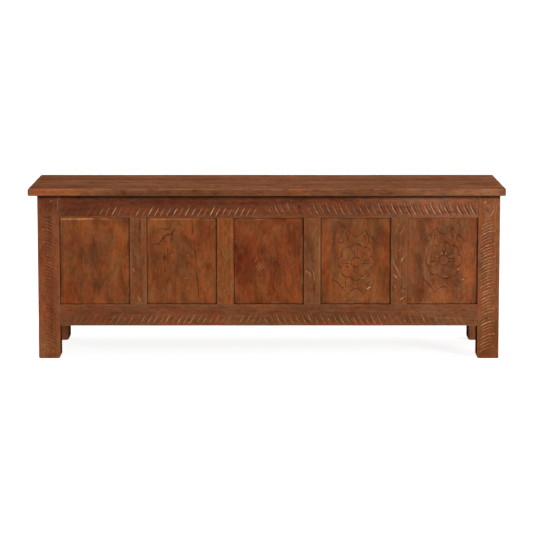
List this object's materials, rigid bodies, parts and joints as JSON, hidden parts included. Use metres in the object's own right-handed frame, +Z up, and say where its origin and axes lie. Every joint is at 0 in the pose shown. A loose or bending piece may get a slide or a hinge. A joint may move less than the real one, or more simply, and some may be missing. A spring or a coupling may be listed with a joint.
{
  "type": "storage chest",
  "caption": "Long framed oak storage chest with carved front panels in a pegged frame, on four post legs, with a plank lid hinged at the back.",
  "frame": {"origin": "on the floor, at the centre of the lid's plan (the bottom centre of the bounding box)", "axes": "+X along the length to the right as seen from the front, +Y from the front to the back, +Z up; the carved front faces -Y"},
  "size_m": [1.66, 0.52, 0.6003],
  "materials": {
    "carved_oak": "old oak, carved, waxed, worn",
    "panel_oak": "old oak, carved, waxed, redder",
    "lid_oak": "old oak, waxed, worn smooth",
    "plain_oak": "old oak, dry, sawn and riven",
    "peg_oak": "old oak, end grain",
    "iron": "black forged iron, a little rust"
  },
  "bodies": {
    "carcase": {"front_left_post": "carved_oak", "front_right_post": "carved_oak", "rear_left_post": "carved_oak", "rear_right_post": "carved_oak", "front_top_rail": "carved_oak", "front_bottom_rail": "carved_oak", "front_muntin_1": "carved_oak", "front_muntin_2": "carved_oak", "front_muntin_3": "carved_oak", "front_muntin_4": "carved_oak", "front_panel_1": "panel_oak", "front_panel_2": "panel_oak", "front_panel_3": "panel_oak", "front_panel_4": "panel_oak", "front_panel_5": "panel_oak", "left_top_rail": "carved_oak", "left_bottom_rail": "carved_oak", "left_muntin_1": "carved_oak", "left_panel_1": "panel_oak", "left_panel_2": "panel_oak", "right_top_rail": "carved_oak", "right_bottom_rail": "carved_oak", "right_muntin_1": "carved_oak", "right_panel_1": "panel_oak", "right_panel_2": "panel_oak", "back_top_rail": "plain_oak", "back_bottom_rail": "plain_oak", "back_muntin_1": "plain_oak", "back_muntin_2": "plain_oak", "back_muntin_3": "plain_oak", "back_panel_1": "plain_oak", "back_panel_2": "plain_oak", "back_panel_3": "plain_oak", "back_panel_4": "plain_oak", "floor_board_1": "plain_oak", "floor_board_2": "plain_oak", "floor_board_3": "plain_oak", "floor_board_4": "plain_oak", "floor_board_5": "plain_oak", "floor_board_6": "plain_oak", "front_left_top_peg_1": "peg_oak", "front_left_top_peg_2": "peg_oak", "front_left_bottom_peg_1": "peg_oak", "front_left_bottom_peg_2": "peg_oak", "front_right_top_peg_1": "peg_oak", "front_right_top_peg_2": "peg_oak", "front_right_bottom_peg_1": "peg_oak", "front_right_bottom_peg_2": "peg_oak", "left_hinge_leaf": "iron", "left_hinge_pin": "iron", "right_hinge_leaf": "iron", "right_hinge_pin": "iron"},
    "lid": {"lid_front_board": "lid_oak", "lid_back_board": "lid_oak", "lid_left_batten": "plain_oak", "lid_middle_batten": "plain_oak", "lid_right_batten": "plain_oak", "left_hinge_strap": "iron", "right_hinge_strap": "iron"}
  },
  "joints": [
    {"name": "lid_hinge", "type": "hinge", "parent": "carcase", "child": "lid", "pos_m": [0.0065, 0.24595, 0.57215], "axis": [-1, 0, 0], "range_deg": [0, 105]}
  ]
}
